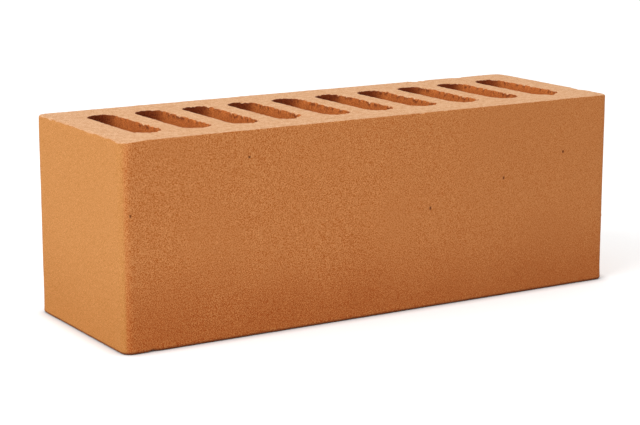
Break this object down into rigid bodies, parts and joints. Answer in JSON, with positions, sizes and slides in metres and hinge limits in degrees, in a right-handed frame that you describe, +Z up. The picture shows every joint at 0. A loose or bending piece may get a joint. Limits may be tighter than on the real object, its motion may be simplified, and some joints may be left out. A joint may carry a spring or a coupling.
{
  "type": "clay brick",
  "caption": "Wire-cut facing brick of fired clay, with a single row of round-ended through slots across its width, for laying in mortar.",
  "frame": {"origin": "middle of the lower bed face, which the brick lies on", "axes": "+X along the length, +Y across the width, along the slots, +Z up through the height, along which the clay was pressed"},
  "size_m": [0.25, 0.085, 0.088],
  "materials": {
    "fired_clay": "matt unglazed fired clay"
  },
  "bodies": {
    "root": {"clay_brick": "fired_clay"}
  },
  "joints": []
}
